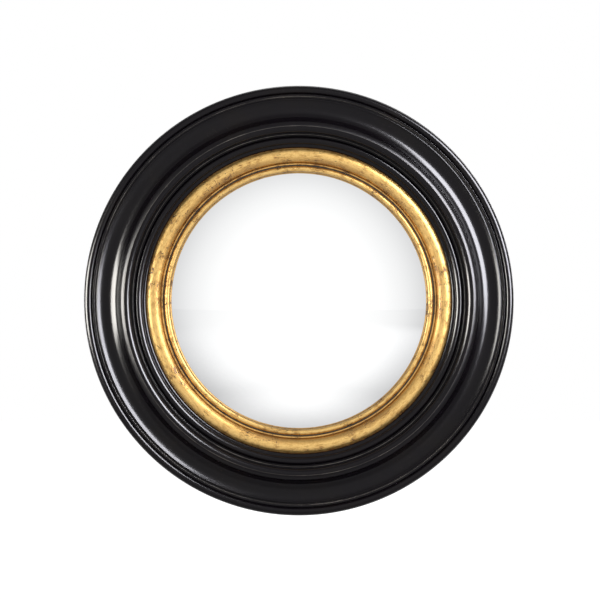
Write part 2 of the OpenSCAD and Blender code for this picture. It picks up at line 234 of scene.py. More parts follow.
class Value:
    """A number that varies over a surface. Python's operators on it add Math nodes."""

    def __init__(self, finish, socket):
        self.finish = finish
        self.socket = socket

    def math(self, operation, *others):
        operands = dict(enumerate((self, *others)))
        return self.finish.node("ShaderNodeMath", {"operation": operation}, operands)

    def __add__(self, other):
        return self.math("ADD", other)

    def __sub__(self, other):
        return self.math("SUBTRACT", other)

    def __rsub__(self, other):
        return self.finish.node("ShaderNodeMath", {"operation": "SUBTRACT"}, {0: other, 1: self})

    def __mul__(self, other):
        return self.math("MULTIPLY", other)

    def __truediv__(self, other):
        return self.math("DIVIDE", other)

    def __neg__(self):
        return self * -1

    __radd__ = __add__
    __rmul__ = __mul__

    def sqrt(self):
        return self.math("SQRT")

    def most(self, other):
        return self.math("MAXIMUM", other)

    def least(self, other):
        return self.math("MINIMUM", other)

    def rising(self, low, high):
        """0 below low, 1 above high, and smooth between them"""
        settings = {"interpolation_type": "SMOOTHSTEP", "clamp": True}
        inputs = {"Value": self, "From Min": low, "From Max": high}
        return self.finish.node("ShaderNodeMapRange", settings, inputs)

    def falling(self, low, high):
        return 1 - self.rising(low, high)

    def band(self, middle, half_width, soft):
        """1 within half_width of middle, and smooth down to 0"""
        away = (self - middle).math("ABSOLUTE")
        return away.falling(half_width, half_width + soft)


class Finish:
    """A material, or the world, with its nodes"""

    def __init__(self, name, world=False):
        self.data = bpy.data.worlds.new(name) if world else bpy.data.materials.new(name)
        self.data.use_nodes = True
        self.tree = self.data.node_tree
        self.tree.nodes.clear()

    def node(self, kind, settings=None, inputs=None, output=0):
        """Adds a node: its settings come first, then the values or links of its sockets."""
        made = self.tree.nodes.new(kind)
        for key, value in (settings or {}).items():
            setattr(made, key, value)
        for key, value in (inputs or {}).items():
            if isinstance(value, Value):
                self.tree.links.new(value.socket, made.inputs[key])
            elif hasattr(value, "__len__") and len(made.inputs[key].default_value) == len(value) + 1:
                made.inputs[key].default_value = (*value, 1)
            else:
                made.inputs[key].default_value = value
        return Value(self, made.outputs[output]) if made.outputs else None

    def place(self):
        """X, Y and Z of a point of the object"""
        point = self.node("ShaderNodeTexCoord", output="Object")
        return [self.node("ShaderNodeSeparateXYZ", inputs={0: point}, output=i) for i in range(3)]

    def along(self):
        """The two coordinates that a flat piece of metal was given, in metres"""
        point = self.node("ShaderNodeTexCoord", output="UV")
        return [self.node("ShaderNodeSeparateXYZ", inputs={0: point}, output=i) for i in range(2)]

    def rays(self):
        """1 for camera rays, for glossy rays and for rays that pass through"""
        names = ("Is Camera Ray", "Is Glossy Ray", "Is Transmission Ray")
        return [self.node("ShaderNodeLightPath", output=name) for name in names]

    def vector(self, x, y, z):
        return self.node("ShaderNodeCombineXYZ", inputs={0: x, 1: y, 2: z})

    def noise(self, vector, scale=1.0, detail=2.0, roughness=0.5, distortion=0.0):
        inputs = {
            "Vector": vector, "Scale": scale, "Detail": detail, "Roughness": roughness, "Distortion": distortion
        }
        return self.node("ShaderNodeTexNoise", inputs=inputs)

    def cells(self, vector, scale=1.0, feature="F1"):
        return self.node("ShaderNodeTexVoronoi", {"feature": feature}, {"Vector": vector, "Scale": scale})

    def mix(self, share, first, second):
        """A colour between two others"""
        return self.node("ShaderNodeMix", {"data_type": "RGBA"}, {0: share, 6: first, 7: second}, output=2)

    def bump(self, height):
        """A normal from a height in metres"""
        return self.node("ShaderNodeBump", inputs={"Height": height, "Distance": 1.0, "Strength": 1.0})

    def surface(self, **sockets):
        """The shader: socket names in lower case, with underscores for spaces"""
        names = {"specular_level": "Specular IOR Level"}
        inputs = {names.get(key, key.replace("_", " ").title()): value for key, value in sockets.items()}
        shader = self.node("ShaderNodeBsdfPrincipled", inputs=inputs)
        self.node("ShaderNodeOutputMaterial", inputs={"Surface": shader})
        return self.data


def polar(finish):
    """Radius and height of a point of a turned piece, and the two parts of its direction from the middle"""
    x, y, z = finish.place()
    radius = (x * x + z * z).sqrt().most(MM)
    return radius, -y, x / radius, z / radius


def wood_tones(finish, looks, x, y, z):
    """Bare planked wood: its colour, and a height for its grain"""
    rings = finish.noise(finish.vector(x * 9, y * 60, z * 110), detail=4, distortion=0.6)
    pores = finish.noise(finish.vector(x * 120, y * 2600, z * 2600), detail=2)
    tone = finish.mix(rings.rising(0.3, 0.7), looks.wood_dark, looks.wood_light)
    tone = finish.mix(pores.rising(0.55, 0.75) * 0.45, tone, looks.wood_dark)
    return tone, pores * (0.03 * MM)


def blend(share, first, second):
    """A number between two others"""
    return first + (second - first) * share


def stations(sizes):
    """Radii and heights of the frame's mouldings, from the outer edge inwards"""
    at = SimpleNamespace(edge=node_radius("frame_ring"))
    at.bead = at.edge - sizes.outer_bead_inset - sizes.outer_bead_r
    at.fillet_out = at.bead - sizes.outer_bead_r - sizes.quirk_w
    at.fillet_in = at.fillet_out - sizes.outer_fillet_w
    at.fillet_h = sizes.edge_h + sizes.outer_fillet_h
    at.arris = at.fillet_in - sizes.groove_w - sizes.arris_round_r
    at.arris_h = sizes.edge_h + sizes.arris_rise
    at.cove_bottom_h = at.arris_h - sizes.cove_depth
    at.cove_h = at.cove_bottom_h + sizes.cove_r
    at.cove_start = -math.asin((sizes.cove_out_r - sizes.cove_depth) / sizes.cove_out_r)
    at.cove = at.arris - sizes.cove_out_r * math.cos(at.cove_start)
    at.rise_out = at.cove - sizes.cove_r * math.sin(sizes.rise_slope)
    at.rise_in = at.rise_out - sizes.rise_h / math.tan(sizes.rise_slope)
    at.rise_top_h = at.cove_h - sizes.cove_r * math.cos(sizes.rise_slope) + sizes.rise_h
    at.shoulder = at.rise_in - sizes.shoulder_r * math.sin(sizes.rise_slope)
    at.shoulder_h = at.rise_top_h - sizes.shoulder_r * math.cos(sizes.rise_slope)
    at.ridge_out = at.shoulder + sizes.ridge_w
    at.ridge_h = at.shoulder_h + math.sqrt(sizes.shoulder_r**2 - sizes.ridge_w**2) + sizes.ridge_step
    at.ridge_in = at.shoulder - sizes.ridge_round_r
    at.quirk_h = at.ridge_h - sizes.inner_drop
    at.inner_fillet_out = at.ridge_in - sizes.inner_quirk_w
    at.inner_fillet_in = at.inner_fillet_out - sizes.inner_fillet_w
    at.inner_bead = at.inner_fillet_in - sizes.inner_groove_w - sizes.inner_bead_r
    at.inner_bead_h = at.quirk_h - sizes.inner_bead_drop
    at.lip_out = at.inner_bead - sizes.inner_bead_r
    at.lip_in = at.lip_out - sizes.lip_w
    at.lip_h = at.inner_bead_h - sizes.lip_drop
    at.seat_h = at.lip_h - sizes.lip_t
    at.slip_rebate = at.lip_in + sizes.slip_seat_w
    at.board_rebate = at.slip_rebate + sizes.board_seat_w
    at.recess = at.board_rebate + sizes.ledge_w
    at.board_in_h = sizes.recess_depth + sizes.board_t
    return at


def slip_stations(at, slip):
    """Radii and heights of the gilt slip and of the dome under its lip"""
    on = SimpleNamespace(back=at.slip_rebate - slip.gap, spigot=at.lip_in - slip.gap)
    on.round = on.spigot - slip.crest_w
    on.round_h = at.seat_h - slip.round_drop
    on.step = on.round - slip.round_r * math.sin(slip.inner_slope)
    on.step_h = on.round_h + slip.round_r * math.cos(slip.inner_slope)
    on.groove_out = on.step - slip.step_w
    on.groove_in = on.groove_out - slip.groove_w
    on.sight = on.groove_in - slip.lip_w
    on.lip_h = on.step_h + slip.lip_rise
    on.sight_h = on.lip_h - slip.lip_t
    on.glass = on.sight + slip.glass_cover
    on.rebate = on.glass + slip.glass_gap
    on.dome_h = on.sight_h - math.sqrt((slip.dome_r + slip.dome_gap) ** 2 - on.sight**2)
    return on


def arc(middle, radius, start, end, step=math.radians(6)):
    """Points of an outline along an arc, from one angle to another"""
    count = max(2, round(abs(end - start) / step))
    angles = [start + (end - start) * i / count for i in range(count + 1)]
    return [(middle[0] + radius * math.cos(a), middle[1] + radius * math.sin(a)) for a in angles]


def without_repeats(outline):
    """The same outline without points that lie on the one before"""
    return [p for i, p in enumerate(outline) if (Vector(p) - Vector(outline[i - 1])).length > 1e-6]


def eased(outline, radius, steps=3, sharp=math.radians(24)):
    """The same closed outline with each sharp corner rounded"""
    soft = []
    for i, corner in enumerate(outline):
        here = Vector(corner)
        back = Vector(outline[i - 1]) - here
        on = Vector(outline[(i + 1) % len(outline)]) - here
        turn = math.pi - back.angle(on)
        if turn < sharp:
            soft.append(here)
            continue
        reach = min(radius * math.tan(min(turn, math.radians(100)) / 2), 0.42 * back.length, 0.42 * on.length)
        start = here + back.normalized() * reach
        end = here + on.normalized() * reach
        for k in range(steps + 1):
            t = k / steps
            soft.append(start * (1 - t) ** 2 + here * 2 * t * (1 - t) + end * t * t)
    return soft


def held_flat(outline, margin, longest):
    """The same outline with points close to the ends of each long straight run, and a few along it"""
    held = []
    for i, start in enumerate(outline):
        run = outline[(i + 1) % len(outline)] - start
        held.append(start)
        if run.length > 3 * margin:
            pieces = max(1, math.ceil((run.length - 2 * margin) / longest))
            first, last = margin / run.length, 1 - margin / run.length
            held += [start + run * (first + (last - first) * k / pieces) for k in range(pieces + 1)]
    return held


def mesh_object(name, verts, faces):
    """A smooth-shaded mesh with its faces turned outwards and its doubled points merged"""
    mesh = bpy.data.meshes.new(name)
    mesh.from_pydata(verts, [], faces)
    tool = bmesh.new()
    tool.from_mesh(mesh)
    bmesh.ops.remove_doubles(tool, verts=tool.verts, dist=1e-7)
    bmesh.ops.recalc_face_normals(tool, faces=tool.faces)
    tool.to_mesh(mesh)
    tool.free()
    mesh.shade_smooth()
    made = bpy.data.objects.new(name, mesh)
    bpy.context.scene.collection.objects.link(made)
    return made


def turned(name, outline, sides):
    """A closed outline of (radius, height) points, turned about the mirror's axis"""
    count = len(outline)
    verts = []
    for i in range(sides):
        around, up = math.cos(TURN * i / sides), math.sin(TURN * i / sides)
        verts += [(radius * around, -height, radius * up) for radius, height in outline]
    faces = []
    for i in range(sides):
        here, there = i * count, (i + 1) % sides * count
        for k in range(count):
            after = (k + 1) % count
            faces.append((here + k, here + after, there + after, there + k))
    return mesh_object(name, verts, faces)


def own(piece, body, slot, material, *nodes):
    """Gives a piece its body and its material, and hides the CAD nodes that it stands for; its slot is not used"""
    piece.data.materials.clear()
    piece.data.materials.append(material)
    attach(piece, body)
    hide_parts(*nodes)


def shapes_to_mesh(name, curve, place):
    """A mesh made from a curve, with flat metal's own coordinates, stood in its place"""
    shape = bpy.data.objects.new(name + "_shape", curve)
    bpy.context.scene.collection.objects.link(shape)
    bpy.context.view_layer.update()
    mesh = bpy.data.meshes.new_from_object(shape.evaluated_get(bpy.context.evaluated_depsgraph_get()))
    bpy.data.objects.remove(shape)
    made = bpy.data.objects.new(name, mesh)
    bpy.context.scene.collection.objects.link(made)
    tool = bmesh.new()
    tool.from_mesh(mesh)
    bmesh.ops.remove_doubles(tool, verts=tool.verts, dist=1e-6)
    bmesh.ops.recalc_face_normals(tool, faces=tool.faces)
    layer = tool.loops.layers.uv.verify()
    for face in tool.faces:
        for loop in face.loops:
            loop[layer].uv = (loop.vert.co.x + loop.vert.co.z, loop.vert.co.y)
    tool.to_mesh(mesh)
    tool.free()
    mesh.transform(place)
    mesh.shade_smooth()
    return made


def stamped(name, loops, thickness, edge, place):
    """A flat plate with rounded edges: the first loop is its outside and the others are its holes"""
    curve = bpy.data.curves.new(name + "_curve", "CURVE")
    curve.dimensions = "2D"
    curve.fill_mode = "BOTH"
    curve.extrude = thickness / 2 - edge
    curve.bevel_depth = edge
    curve.bevel_resolution = 2
    for loop in loops:
        spline = curve.splines.new("POLY")
        spline.points.add(len(loop) - 1)
        spline.points.foreach_set("co", [value for x, y in loop for value in (x, y, 0, 1)])
        spline.use_cyclic_u = True
    plate = shapes_to_mesh(name, curve, place)
    weigh_normals(plate)
    return plate


def weigh_normals(piece):
    """Keeps broad faces flat beside their narrow rounded edges"""
    weighted = piece.modifiers.new("weighted_normals", "WEIGHTED_NORMAL")
    weighted.weight = 100


def circle(middle, radius, count=40):
    """Points of a round hole"""
    return [(middle[0] + radius * math.cos(TURN * i / count), middle[1] + radius * math.sin(TURN * i / count))
            for i in range(count)]


def from_wall(x, z, height):
    """Stands a shape up: its X stays, its Y becomes up and its Z becomes the height from the wall."""
    return Matrix.Translation((x, -height, z)) @ Matrix.Rotation(math.pi / 2, 4, "X")


def lacquer_finish(looks, at, sizes):
    """Black lacquer with a painted highlight along its arrises, laid in patches like rubbing, over wood that is bare
    in the recess at the back
    """
    finish = Finish("black_lacquer")
    x, y, z = finish.place()
    radius, height, across, up = polar(finish)
    lines = finish.noise(finish.vector(across * 5, up * 5, (radius + height) * 1500), detail=3, roughness=0.7)
    clouds = finish.noise(finish.vector(x, y, z), scale=26, detail=5, roughness=0.6)
    scuffs = finish.noise(finish.vector(across * 160, up * 160, (radius + height) * 90), detail=4, roughness=0.75)
    crests = [at.fillet_in, at.ridge_out, (at.inner_fillet_out + at.inner_fillet_in) / 2]
    # Painted highlight: the outer arris and the fillet crests are made lighter
    edges = radius.band(at.edge, 0.2 * MM, 0.4 * MM) * height.band(sizes.edge_h, 0.1 * MM, 0.5 * MM) * 0.3
    for crest in crests:
        edges = edges.most(radius.band(crest, 0.1 * MM, 0.3 * MM))
    # The painted highlight, broken into patches like rubbed lacquer; it also roughens the gloss there
    rubbed = edges * (0.35 + clouds.rising(0.44, 0.62) * 0.65) * scuffs.rising(0.05, 0.55)
    hairs = finish.noise(finish.vector((x + z) * 900, (x - z) * 60, y * 300), detail=2, roughness=0.8)
    marks = hairs.rising(0.66, 0.72) * clouds.rising(0.5, 0.6)
    in_recess = radius.falling(at.recess + 0.1 * MM, at.recess + 0.4 * MM)
    in_recess = in_recess * height.falling(sizes.recess_depth + 0.1 * MM, sizes.recess_depth + 0.5 * MM)
    bare = in_recess * (height + scuffs * (4 * MM)).rising(2.5 * MM, 5.5 * MM)
    wood, grain = wood_tones(finish, looks, x, y, z)
    tone = finish.mix(clouds.rising(0.45, 0.7) * 0.6, looks.lacquer, looks.lacquer_warm)
    # Lays the painted highlight's colour on the crests
    tone = finish.mix(rubbed * 0.8, tone, looks.lacquer_crest_highlight)
    tone = finish.mix(bare, tone, wood)
    shoulder = radius.band(at.shoulder + 3.4 * MM, 1.8 * MM, 1.0 * MM)
    plain_edge = radius.rising(at.edge - 0.3 * MM, at.edge) * height.falling(sizes.edge_h - MM, sizes.edge_h)
    gloss = 0.12 + clouds * 0.09 + lines * 0.06 + rubbed * 0.2 + marks * 0.12 + shoulder * 0.1 + plain_edge * 0.25
    relief = lines * (0.0012 * MM) + clouds * (0.02 * MM) - marks * (0.002 * MM)
    return finish.surface(
        base_color=tone,
        roughness=blend(bare, gloss, 0.62),
        specular_level=looks.lacquer_gloss,
        normal=finish.bump(blend(bare, relief, grain)),
    )


def gilt_finish(looks, on, slip):
    """Gold leaf, rubbed through to its clay ground, with dark wax in the cracks and the groove, and painted shade on
    its inner flank and its lip
    """
    finish = Finish("gilding")
    x, y, z = finish.place()
    radius, height, across, up = polar(finish)
    point = finish.vector(x, y, z)
    section = radius + height * 0.7
    patches = finish.noise(point, scale=95, detail=4, roughness=0.6)
    broad = finish.noise(point, scale=22, detail=3)
    fine = finish.noise(point, scale=620, detail=3, roughness=0.6)
    drag = finish.noise(finish.vector(across * 26, up * 26, section * 780), detail=4, roughness=0.65)
    brushed = finish.noise(finish.vector((x + z) * 420, (x - z) * 90, y * 200), detail=3, roughness=0.7)
    # Painted shade: the inner flank of the half round is toned darker and redder; it also adds a little wear
    flank = radius.band(on.step + 2.2 * MM, 2.2 * MM, 2.2 * MM)
    rim = radius.rising(on.spigot - 1.3 * MM, on.spigot - 0.1 * MM)
    # Painted shade on the lip over the glass, which also adds a little wear
    sill_shade_and_wear = radius.falling(on.sight + 0.2 * MM, on.sight + 0.9 * MM)
    wear = drag * 0.62 + patches * 0.38 + (broad - 0.5) * 0.16 + flank * 0.02 + rim * 0.05 + sill_shade_and_wear * 0.04
    worn = wear.rising(0.585, 0.635)
    gone = wear.rising(0.655, 0.7)
    flakes = finish.cells(finish.vector(across * 17, up * 17, section * 520), feature="DISTANCE_TO_EDGE")
    cracks = flakes.falling(0.01, 0.035) * patches.rising(0.54, 0.6)
    strokes = finish.noise(finish.vector(across * 70, up * 70, section * 1300), detail=2, roughness=0.6)
    inner = radius.band(on.step + 3 * MM, 2.6 * MM, 1.5 * MM)
    cracks = cracks.most(strokes.rising(0.6, 0.64) * broad.rising(0.5, 0.56) * inner)
    pits = finish.cells(point, scale=330).falling(0.12, 0.2) * broad.rising(0.5, 0.62)
    groove = radius.band((on.groove_out + on.groove_in) / 2, slip.groove_w * 0.42, 0.25 * MM)
    dark = cracks.most(pits).most(gone * 0.5).most(groove * (0.72 + drag * 0.4)).most(rim * 0.12)
    leaf = finish.mix((drag * 0.6 + patches * 0.4).falling(0.46, 0.6), looks.leaf_deep_and_shade, looks.leaf)
    grit = finish.noise(point, scale=1100, detail=2)
    # Painted shade on the flank and the lip, with random toning from the grit
    toning_and_shade = flank * 0.5 + sill_shade_and_wear * 0.8 + grit.rising(0.45, 0.62) * 0.35
    leaf = finish.mix(toning_and_shade.least(1), leaf, looks.leaf_deep_and_shade)
    # More painted shade: the inner flank is turned towards the red-brown clay
    leaf = finish.mix(flank * broad.rising(0.4, 0.6) * 0.3, leaf, looks.clay)
    tone = finish.mix(worn * 0.6, leaf, looks.clay)
    tone = finish.mix(rim * 0.85, tone, looks.bole)
    tone = finish.mix(dark, tone, looks.wax)
    lost = (worn * 0.7).most(dark).most(rim * 0.9)
    relief = fine * (0.035 * MM) + patches * (0.09 * MM) + brushed * (0.02 * MM)
    relief = relief - worn * (0.025 * MM) - cracks * (0.07 * MM) - pits * (0.06 * MM)
    return finish.surface(
        base_color=tone,
        metallic=1 - lost * 0.9,
        roughness=0.27 + fine * 0.12 + brushed * 0.1 + lost * 0.2,
        specular_level=0.3,
        coat_weight=0.5,
        coat_roughness=0.22,
        normal=finish.bump(relief),
    )


def mirror_finish(looks, on):
    """Silvered glass: bright in the middle, greyed towards its rim by painted shade, with faint smears"""
    finish = Finish("silvered_glass")
    x, y, z = finish.place()
    radius = polar(finish)[0]
    smears = finish.noise(finish.vector(x * 14, y * 14, z * 22), detail=5, roughness=0.6, distortion=0.8)
    dust = finish.noise(finish.vector(x, y, z), scale=900, detail=2)
    # Painted shade: the silvering greys from 70 mm out to the rim
    tone = finish.mix(radius.rising(70 * MM, on.sight + 2 * MM), looks.silver, looks.silver_rim_shade)
    return finish.surface(
        base_color=tone,
        metallic=1.0,
        roughness=0.004 + smears.rising(0.5, 0.75) * 0.02 + dust.rising(0.7, 0.8) * 0.02,
    )


def felt_finish(looks):
    """Grey felt with clumps and loose fibres"""
    finish = Finish("grey_felt")
    x, y, z = finish.place()
    fibres = finish.noise(finish.vector(x, y, z), scale=2200, detail=4, roughness=0.8)
    clumps = finish.noise(finish.vector(x, y, z), scale=240, detail=2)
    tone = finish.mix(fibres.rising(0.35, 0.7), (0.05, 0.05, 0.054), looks.felt)
    return finish.surface(
        base_color=tone, roughness=0.95, specular_level=0.1,
        normal=finish.bump(fibres * (0.12 * MM) + clumps * (0.2 * MM)),
    )


def bare_wood_finish(looks):
    """Turned wood without a finish"""
    finish = Finish("bare_wood")
    x, y, z = finish.place()
    tone, grain = wood_tones(finish, looks, x, y, z)
    return finish.surface(base_color=tone, roughness=0.65, specular_level=0.3, normal=finish.bump(grain))


def board_finish(looks):
    """Hardboard with its smooth pressed side out: brown fibres, cloudy tones and a few rubs"""
    finish = Finish("hardboard")
    x, y, z = finish.place()
    point = finish.vector(x, y, z)
    fibres = finish.noise(point, scale=900, detail=4, roughness=0.75)
    clouds = finish.noise(point, scale=18, detail=4, roughness=0.6)
    rubs = finish.noise(finish.vector((x + z) * 160, (x - z) * 14, y), detail=3, roughness=0.7)
    tone = finish.mix((fibres * 0.6 + clouds * 0.4).rising(0.38, 0.62), looks.board_dark, looks.board)
    tone = finish.mix(rubs.rising(0.6, 0.75) * 0.35, tone, (0.32, 0.2, 0.11))
    return finish.surface(
        base_color=tone, roughness=0.5 + fibres * 0.2, specular_level=0.35, normal=finish.bump(fibres * (0.03 * MM))
    )


def zinc_finish(looks):
    """Zinc plating over stamped steel: brushed along its length, with duller patches"""
    finish = Finish("zinc_steel")
    u, v = finish.along()
    x, y, z = finish.place()
    grain = finish.noise(finish.vector(u * 90, v * 5200, 0.0), detail=3, roughness=0.7)
    patches = finish.noise(finish.vector(x, y, z), scale=420, detail=3, roughness=0.6)
    tone = finish.mix(patches.rising(0.38, 0.66), looks.zinc, looks.zinc_dull)
    return finish.surface(
        base_color=tone, metallic=1.0, roughness=0.26 + grain * 0.16 + patches * 0.1,
        normal=finish.bump(grain * (0.006 * MM) + patches * (0.01 * MM)),
    )


def screw_finish(looks):
    """Yellow zinc plating with its faint green sheen, darker in the slots"""
    finish = Finish("screw_steel")
    x, y, z = finish.place()
    height = -y
    patches = finish.noise(finish.vector(x, y, z), scale=520, detail=3)
    fine = finish.noise(finish.vector(x, y, z), scale=3000, detail=2)
    tone = finish.mix(patches.rising(0.4, 0.62), looks.brass_zinc, looks.brass_zinc_green)
    tone = finish.mix(height.rising(5.6 * MM, 6.4 * MM) * 0.35, tone, (0.16, 0.12, 0.06))
    return finish.surface(
        base_color=tone, metallic=1.0, roughness=0.24 + fine * 0.14,
        normal=finish.bump(fine * (0.006 * MM)),
    )


class Build:
    """What every building operator shares"""

    bl_options = {"REGISTER"}

    @staticmethod
    def settings():
        return bpy.context.scene.wall_mirror


class WALL_MIRROR_OT_frame_ring(Build, bpy.types.Operator):
    """Turns the black frame"""

    bl_idname = "wall_mirror.frame_ring"
    bl_label = "Black frame"

    def execute(self, context):
        sizes, looks = self.settings().frame, self.settings().finishes
        at = stations(sizes)
        half, quarter = math.pi, math.pi / 2
        bead = sizes.outer_bead_r
        lip = sizes.lip_round_r
        round_r = sizes.arris_round_r
        outline = [
            (at.edge - sizes.edge_chamfer, 0), (at.edge, sizes.edge_chamfer), (at.edge, sizes.edge_h),
            *arc((at.bead, sizes.edge_h), bead, 0, half),
            (at.fillet_out, sizes.edge_h), (at.fillet_out, at.fillet_h),
            (at.fillet_in, at.fillet_h), (at.fillet_in, sizes.edge_h), (at.arris + round_r, sizes.edge_h),
            *arc((at.arris, at.arris_h - round_r), round_r, 0, quarter),
            *arc((at.cove, at.cove_bottom_h + sizes.cove_out_r), sizes.cove_out_r, at.cove_start, -quarter,
                 math.radians(3)),
            *arc((at.cove, at.cove_h), sizes.cove_r, -quarter, -quarter - sizes.rise_slope),
            *arc((at.shoulder, at.shoulder_h), sizes.shoulder_r, quarter - sizes.rise_slope,
                 math.acos(sizes.ridge_w / sizes.shoulder_r)),
            (at.ridge_out, at.ridge_h),
            *arc((at.shoulder, at.ridge_h - sizes.ridge_round_r), sizes.ridge_round_r, quarter, half),
            (at.ridge_in, at.quirk_h), (at.inner_fillet_out, at.quirk_h),
            (at.inner_fillet_out, at.quirk_h + sizes.inner_fillet_h),
            (at.inner_fillet_in, at.quirk_h + sizes.inner_fillet_h), (at.inner_fillet_in, at.inner_bead_h),
            *arc((at.inner_bead, at.inner_bead_h), sizes.inner_bead_r, 0, half),
            (at.lip_out, at.lip_h),
            *arc((at.lip_in + lip, at.lip_h - lip), lip, quarter, half),
            (at.lip_in, at.seat_h), (at.slip_rebate, at.seat_h), (at.slip_rebate, at.board_in_h),
            (at.board_rebate, at.board_in_h), (at.board_rebate, sizes.recess_depth),
            (at.recess, sizes.recess_depth), (at.recess, 0),
        ]
        outline = held_flat(eased(without_repeats(outline), sizes.ease), 0.4 * MM, 6 * MM)
        piece = turned("frame_ring_turned", outline, sizes.sides)
        own(piece, ROOT, "black_lacquer", lacquer_finish(looks, at, sizes), "frame_ring")
        return {"FINISHED"}


class WALL_MIRROR_OT_gilt_ring(Build, bpy.types.Operator):
    """Turns the gilt slip and wears it"""

    bl_idname = "wall_mirror.gilt_ring"
    bl_label = "Gilt slip"

    def execute(self, context):
        sizes, slip, looks = self.settings().frame, self.settings().slip, self.settings().finishes
        at = stations(sizes)
        on = slip_stations(at, slip)
        seat_r = slip.dome_r + slip.dome_gap
        outline = [
            (on.back, at.board_in_h), (on.back, at.seat_h), (on.spigot, at.seat_h),
            *arc((on.round, on.round_h), slip.round_r, math.acos(slip.crest_w / slip.round_r),
                 math.pi / 2 + slip.inner_slope),
            (on.groove_out, on.step_h), (on.groove_out, on.step_h - slip.groove_depth),
            (on.groove_in, on.step_h - slip.groove_depth),
            *arc((on.sight + slip.lip_w / 2, on.lip_h), slip.lip_w / 2, 0, math.pi),
            *[(r, on.dome_h + math.sqrt(seat_r**2 - r**2)) for r in (on.sight, on.glass, on.rebate)],
            (on.rebate, at.board_in_h),
        ]
        outline = held_flat(eased(without_repeats(outline), slip.ease), 0.3 * MM, 0.9 * MM)
        piece = turned("gilt_ring_carved", outline, sizes.sides * 3 // 2)
        self.wear(piece, at, slip)
        own(piece, ROOT, "gilding", gilt_finish(looks, on, slip), "gilt_ring")
        return {"FINISHED"}

    @staticmethod
    def wear(piece, at, slip):
        """Moves the visible surface in and out a little, as gesso laid and rubbed by hand"""
        mesh = piece.data
        resting = [(vertex.co.copy(), vertex.normal.copy()) for vertex in mesh.vertices]
        moved = []
        for point, normal in resting:
            if -point.y > at.seat_h - slip.round_drop:
                wave = noise.noise(point * 45) + 0.5 * noise.noise(point * 160)
                chip = max(0, noise.noise(point * 260) + 0.3 * noise.noise(point * 700) - 0.42)
                point = point + normal * (slip.wobble * (wave - 1.2) / 2 - slip.dents * min(1, chip * 4))
            moved.extend(point)
        mesh.vertices.foreach_set("co", moved)
        mesh.update()


class WALL_MIRROR_OT_mirror_glass(Build, bpy.types.Operator):
    """Bends the domed mirror glass"""

    bl_idname = "wall_mirror.mirror_glass"
    bl_label = "Domed glass"

    def execute(self, context):
        sizes, slip, looks = self.settings().frame, self.settings().slip, self.settings().finishes
        on = slip_stations(stations(sizes), slip)
        rings = 44
        radii = [on.glass * i / rings for i in range(rings + 1)]
        front = [(r, on.dome_h + math.sqrt(slip.dome_r**2 - r**2)) for r in radii]
        back_r = slip.dome_r - slip.glass_t
        back = [(r, on.dome_h + math.sqrt(back_r**2 - r**2)) for r in reversed(radii)]
        rim = [Vector(point) for point in front[-1:] + back[:1]]
        ground = [rim[0].lerp(rim[1], share) for share in (0.08, 0.5, 0.92)]
        piece = turned("mirror_glass_silvered", front + ground + back, sizes.sides)
        own(piece, ROOT, "silvered_glass", mirror_finish(looks, on), "mirror_glass")
        return {"FINISHED"}


class WALL_MIRROR_OT_packing(Build, bpy.types.Operator):
    """Finishes the felt ring and the spacer ring, which stay as the frame gives them"""

    bl_idname = "wall_mirror.packing"
    bl_label = "Felt and spacer"

    def execute(self, context):
        looks = self.settings().finishes
        for node, material in (("packing_ring", felt_finish(looks)), ("spacer_ring", bare_wood_finish(looks))):
            materials = frame["nodes"][node].data.materials
            materials.clear()
            materials.append(material)
        return {"FINISHED"}


class WALL_MIRROR_OT_backing_board(Build, bpy.types.Operator):
    """Cuts the hardboard disc"""

    bl_idname = "wall_mirror.backing_board"
    bl_label = "Backing board"

    def execute(self, context):
        sizes, looks = self.settings().frame, self.settings().finishes
        radius = node_radius("backing_board")
        low, high = sizes.recess_depth, sizes.recess_depth + sizes.board_t
        rim = eased([(0, low), (radius, low), (radius, high), (0, high)], 0.5 * MM)
        piece = turned("backing_board_sheet", held_flat(rim, 0.4 * MM, 20 * MM), sizes.sides // 2)
        own(piece, ROOT, "hardboard", board_finish(looks), "backing_board")
        return {"FINISHED"}


def button_places():
    """Each turn button with its angle and the place of its screw"""
    joints = {joint["child"]: joint for joint in frame["joints"]}
    for name in BUTTONS:
        x, _, z = joints[name]["pos_m"]
        yield name, math.atan2(z, x), x, z


class WALL_MIRROR_OT_turn_buttons(Build, bpy.types.Operator):
    """Stamps the six turn buttons"""

    bl_idname = "wall_mirror.turn_buttons"
    bl_label = "Turn buttons"

    def execute(self, context):
        sizes, parts = self.settings().frame, self.settings().hardware
        metal = zinc_finish(self.settings().finishes)
        half = parts.button_w / 2
        tip = half - parts.button_reach
        inner = half - parts.edge
        outside = arc((0, 0), inner, -math.pi / 2, math.pi / 2) + arc((tip, 0), inner, math.pi / 2, math.pi * 3 / 2)
        hole = circle((0, 0), parts.screw_r + parts.pivot_gap + parts.edge)
        middle = sizes.recess_depth - parts.button_play - parts.button_t / 2
        for name, turn, x, z in button_places():
            place = from_wall(x, z, middle) @ Matrix.Rotation(turn, 4, "Z")
            piece = stamped(name + "_stamped", [outside, hole], parts.button_t, parts.edge, place)
            own(piece, name, "zinc_steel", metal, name)
        return {"FINISHED"}


